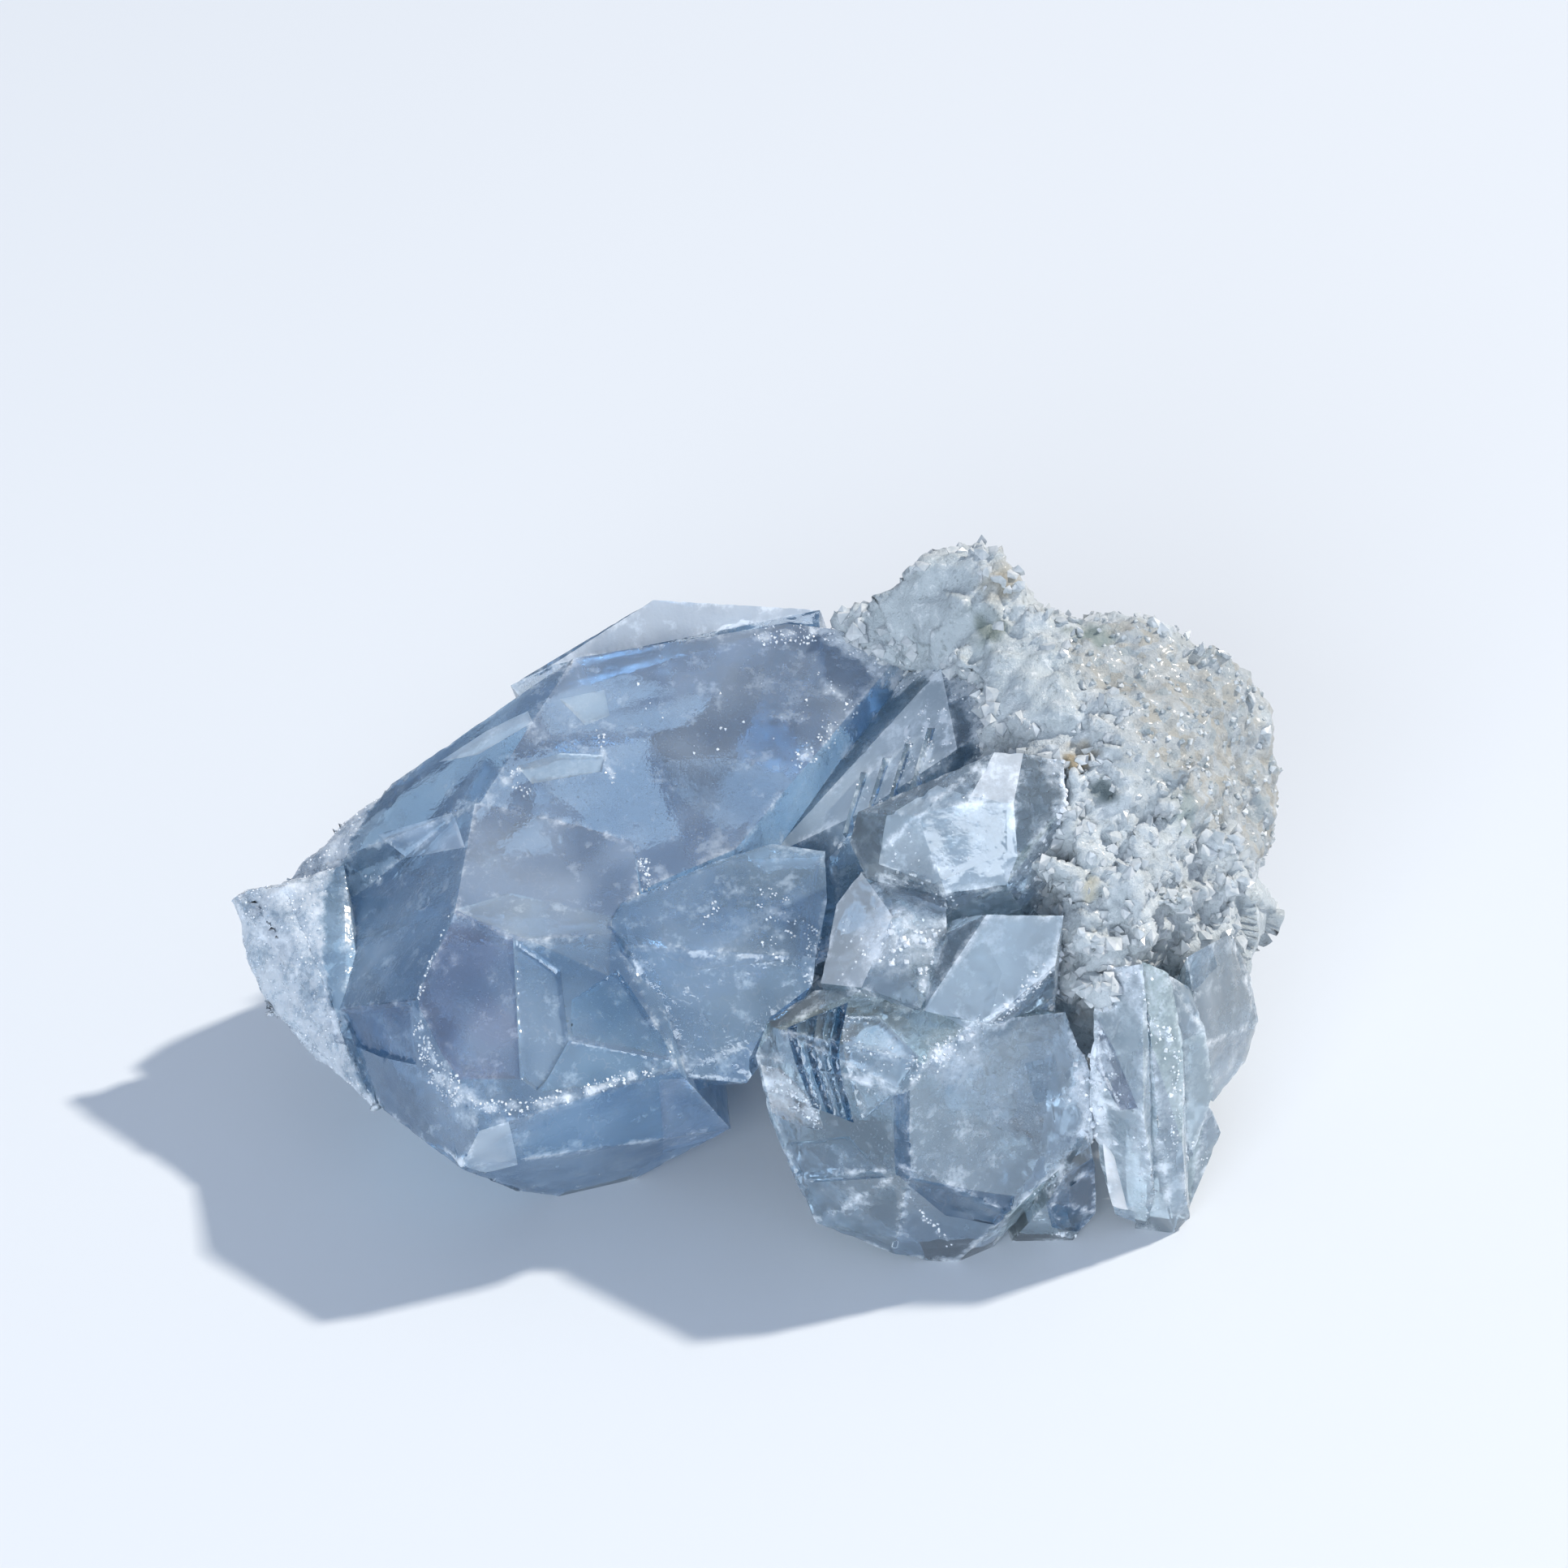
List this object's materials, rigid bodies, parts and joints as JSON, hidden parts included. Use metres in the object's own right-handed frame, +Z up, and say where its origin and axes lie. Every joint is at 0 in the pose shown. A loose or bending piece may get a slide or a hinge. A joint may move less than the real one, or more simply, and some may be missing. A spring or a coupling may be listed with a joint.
{
  "type": "rough celestite",
  "caption": "Rough celestite specimen: pale blue and clear crystals with flat faces, grown together on a lump of granular grey-white rock.",
  "frame": {"origin": "middle of the footprint, on the surface that the specimen stands on", "axes": "+Z up; +X along the long side, from the blue crystals' tip towards the rock; the clearest crystals face -Y"},
  "size_m": [0.0664, 0.0387, 0.0312],
  "materials": {
    "rock": "granular, matt, grey-white with beige and dark specks",
    "blue_crystal": "polished faces, clouded inside",
    "clear_crystal": "polished faces, clear with veils",
    "bladed_crystal": "striated, translucent"
  },
  "bodies": {
    "root": {"matrix": "rock", "blue_crystals": "blue_crystal", "clear_crystals": "clear_crystal", "bladed_crystals": "bladed_crystal"}
  },
  "joints": []
}
